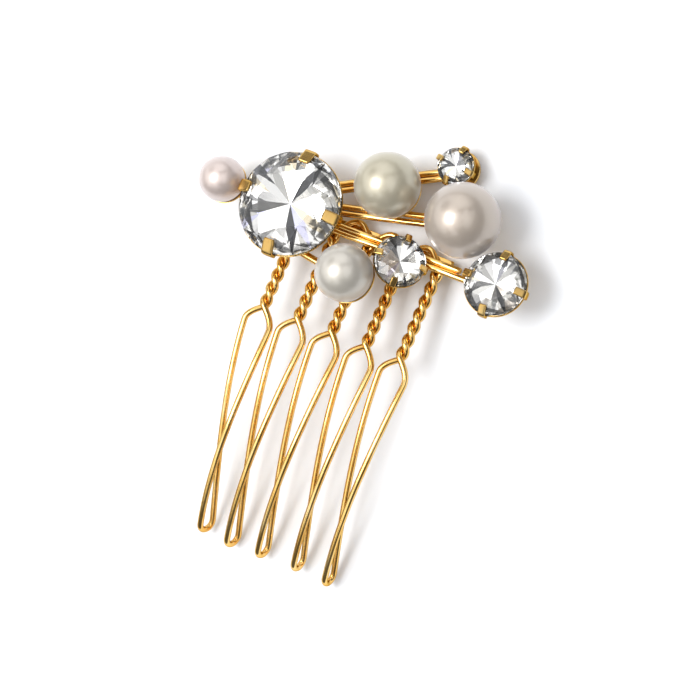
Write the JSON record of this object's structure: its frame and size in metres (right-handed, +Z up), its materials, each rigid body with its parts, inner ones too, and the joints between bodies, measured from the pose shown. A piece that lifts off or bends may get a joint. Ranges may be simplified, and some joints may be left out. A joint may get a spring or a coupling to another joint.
{
  "type": "decorative hair comb",
  "caption": "Gold-plated wire hair comb with twisted hairpin teeth under a fan of soldered wire rails that holds round crystals in prong cups and pearls in dished cups.",
  "frame": {"origin": "middle of the underside of the bounding box, on the plane that the comb lies on", "axes": "+X along the spine, towards the side with the right crystal; +Y from the tips of the teeth to the decorated head; +Z up, out of the decorated face. The comb lies on the backs of its tips and the back of the upper rail's free end, so its spine line is parallel to X and the flat twisted part of the teeth is tilted 12.6 degrees about X."},
  "size_m": [0.0486, 0.061, 0.0136],
  "materials": {
    "gold_plating": "polished yellow gold plating on brass wire and stamped cups",
    "crystal": "clear brilliant-cut glass with a silvered foil back",
    "pearl": "pearlescent lacquer with a soft lustre"
  },
  "bodies": {
    "root": {"tooth_1": "gold_plating", "tooth_2": "gold_plating", "tooth_3": "gold_plating", "tooth_4": "gold_plating", "tooth_5": "gold_plating", "spine_arch_1": "gold_plating", "spine_arch_2": "gold_plating", "spine_arch_3": "gold_plating", "spine_arch_4": "gold_plating", "spine_strip": "gold_plating", "main_rail_upper": "gold_plating", "main_rail_lower": "gold_plating", "middle_rail": "gold_plating", "middle_rail_stub": "gold_plating", "link_wire": "gold_plating", "upper_rail_front": "gold_plating", "upper_rail_back": "gold_plating", "strut": "gold_plating", "large_crystal_cup": "gold_plating", "large_crystal": "crystal", "small_crystal_cup": "gold_plating", "small_crystal": "crystal", "middle_crystal_cup": "gold_plating", "middle_crystal": "crystal", "right_crystal_cup": "gold_plating", "right_crystal": "crystal", "left_pearl_cup": "gold_plating", "left_pearl": "pearl", "upper_pearl_cup": "gold_plating", "upper_pearl": "pearl", "lower_pearl_cup": "gold_plating", "lower_pearl": "pearl", "great_pearl_cup": "gold_plating", "great_pearl": "pearl"}
  },
  "joints": []
}
